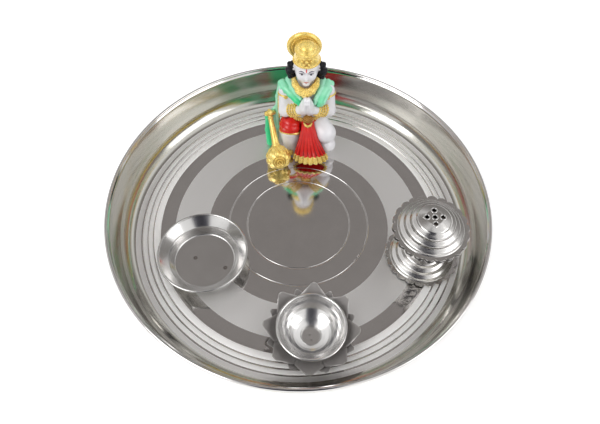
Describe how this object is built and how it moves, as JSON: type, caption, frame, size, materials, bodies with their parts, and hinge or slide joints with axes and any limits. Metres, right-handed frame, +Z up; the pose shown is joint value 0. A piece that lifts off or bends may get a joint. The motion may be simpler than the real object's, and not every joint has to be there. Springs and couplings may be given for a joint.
{
  "type": "puja thali",
  "caption": "Round steel puja plate with a rolled rim, carrying a lift-out bowl, a lotus oil lamp, an incense stand with a lift-off cap and a kneeling painted figure.",
  "frame": {"origin": "centre of the plate's underside", "axes": "+Z up; the figure faces -Y, towards the person who uses the thali"},
  "size_m": [0.26, 0.26, 0.1007],
  "materials": {
    "plate_steel": "mirror polished with a satin ring",
    "bowl_steel": "mirror polished",
    "lamp_steel": "mirror polished",
    "petal_steel": "satin",
    "stand_steel": "polished",
    "white_paint": "gloss painted resin",
    "red_paint": "gloss painted resin",
    "green_paint": "gloss painted resin",
    "gold_paint": "metallic painted resin",
    "black_paint": "gloss painted resin"
  },
  "bodies": {
    "thali": {"thali_plate": "plate_steel"},
    "bowl": {"katori": "bowl_steel"},
    "diya": {"diya_bowl": "lamp_steel", "lotus_upper": "petal_steel", "lotus_lower": "petal_steel"},
    "incense_stand": {"incense_base": "stand_steel", "incense_cup": "stand_steel", "incense_neck": "stand_steel", "neck_rivet": "stand_steel"},
    "incense_top": {"incense_cap": "stand_steel"},
    "figure": {"seat_cloth": "red_paint", "chest": "white_paint", "head": "white_paint", "crown": "gold_paint", "hair": "black_paint", "halo": "gold_paint", "right_arm": "white_paint", "left_arm": "white_paint", "hands": "white_paint", "bangles": "gold_paint", "armlets": "gold_paint", "necklace": "gold_paint", "thigh_wrap": "red_paint", "right_leg": "white_paint", "left_thigh": "white_paint", "left_shin": "white_paint", "belt": "gold_paint", "buckle": "gold_paint", "sash": "red_paint", "sash_hem": "gold_paint", "wrap_hem": "gold_paint", "mace": "gold_paint", "shawl": "green_paint"}
  },
  "joints": [
    {"name": "bowl_lift", "type": "slide", "parent": "thali", "child": "bowl", "axis": [0, 0, 1], "range_m": [0, 0.06]},
    {"name": "diya_lift", "type": "slide", "parent": "thali", "child": "diya", "axis": [0, 0, 1], "range_m": [0, 0.06]},
    {"name": "stand_lift", "type": "slide", "parent": "thali", "child": "incense_stand", "axis": [0, 0, 1], "range_m": [0, 0.06]},
    {"name": "cap_lift", "type": "slide", "parent": "incense_stand", "child": "incense_top", "axis": [0, 0, 1], "range_m": [0, 0.04]},
    {"name": "figure_lift", "type": "slide", "parent": "thali", "child": "figure", "axis": [0, 0, 1], "range_m": [0, 0.06]}
  ]
}
